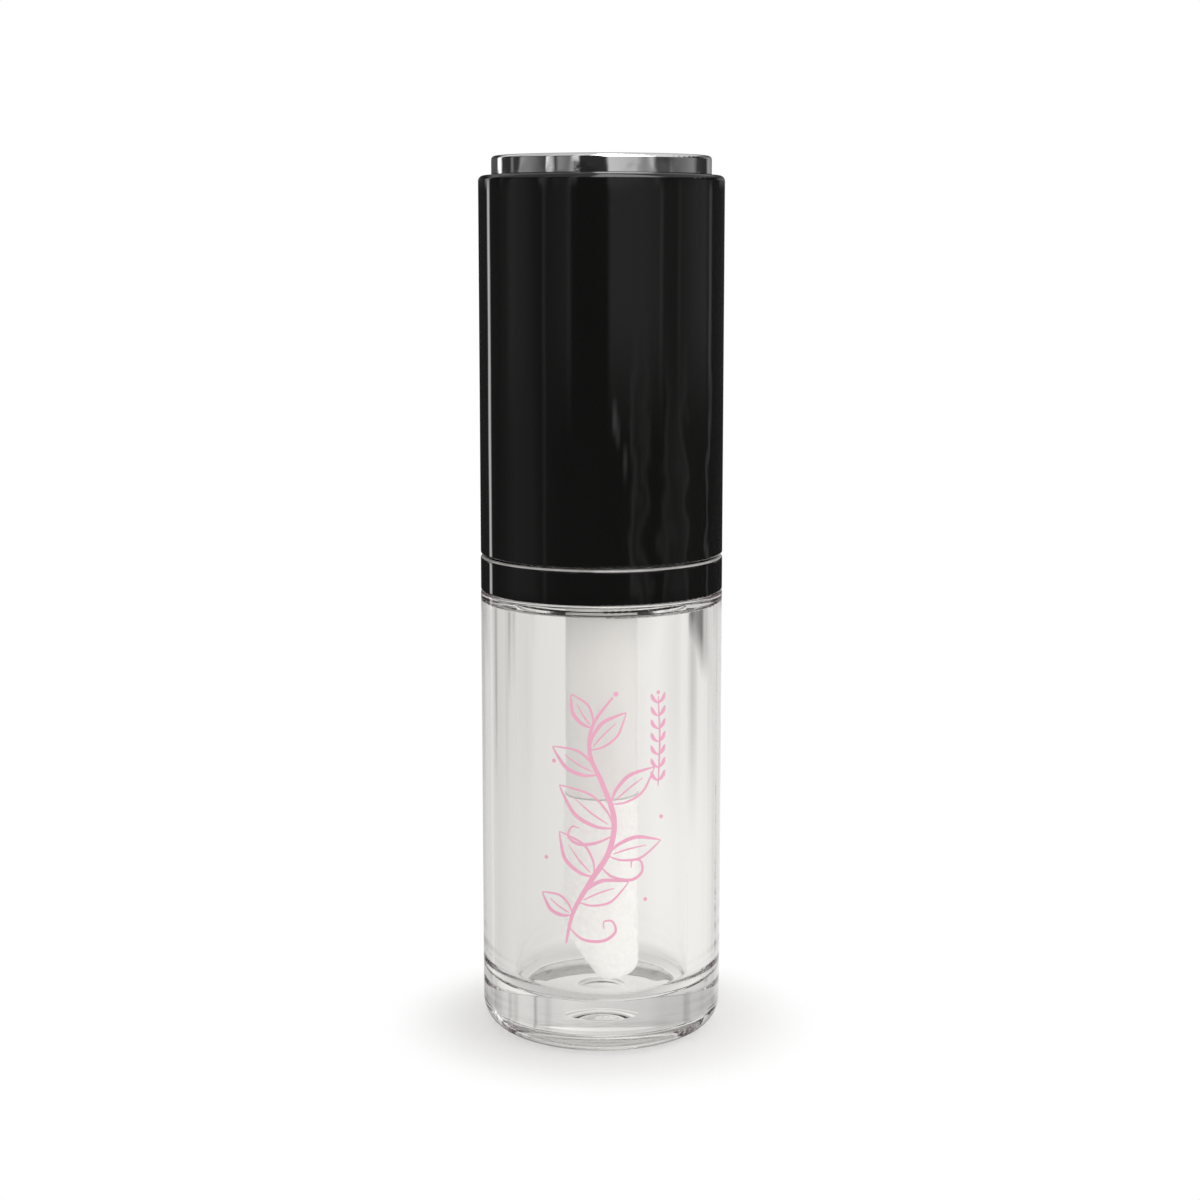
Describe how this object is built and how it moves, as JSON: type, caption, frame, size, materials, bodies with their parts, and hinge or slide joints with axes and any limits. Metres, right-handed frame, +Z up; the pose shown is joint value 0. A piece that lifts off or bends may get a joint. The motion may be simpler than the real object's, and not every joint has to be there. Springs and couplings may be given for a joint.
{
  "type": "lip gloss tube",
  "caption": "Clear thick-wall lip gloss bottle with a black screw cap, a collar ring, a chromed top disc and a doe-foot applicator wand.",
  "frame": {"origin": "centre of the bottle's underside, on the surface it stands on", "axes": "+Z up along the tube from the base to the cap's disc; +X towards the blunt end of the slanted applicator tip"},
  "size_m": [0.02, 0.02, 0.0725],
  "materials": {
    "clear_plastic": "clear, polished",
    "black_plastic": "high gloss",
    "natural_plastic": "natural polyethylene and polypropylene",
    "gasket_foam": "smooth closed-cell",
    "white_plastic": "satin moulded",
    "white_rubber": "soft, matte",
    "flock": "short electrostatic flock",
    "chrome": "mirror plated"
  },
  "bodies": {
    "bottle": {"bottle": "clear_plastic", "collar_ring": "black_plastic", "neck_wiper": "natural_plastic"},
    "cap_gasket": {"cap_gasket": "gasket_foam"},
    "cap": {"cap_shell": "black_plastic", "cap_liner": "natural_plastic", "top_disc": "chrome", "wand_stem": "white_plastic", "applicator_core": "white_rubber", "applicator_flock": "flock"}
  },
  "joints": [
    {"name": "cap_rise", "type": "slide", "parent": "bottle", "child": "cap_gasket", "axis": [0, 0, 1], "range_m": [0, 0.048]},
    {"name": "cap_turn", "type": "hinge", "parent": "cap_gasket", "child": "cap", "pos_m": [0, 0, 0.045], "axis": [0, 0, 1], "range_deg": [0, 2881]}
  ],
  "couplings": [
    {"joint": "cap_turn", "follows": "cap_rise", "rad_per_m": 1047.2}
  ]
}
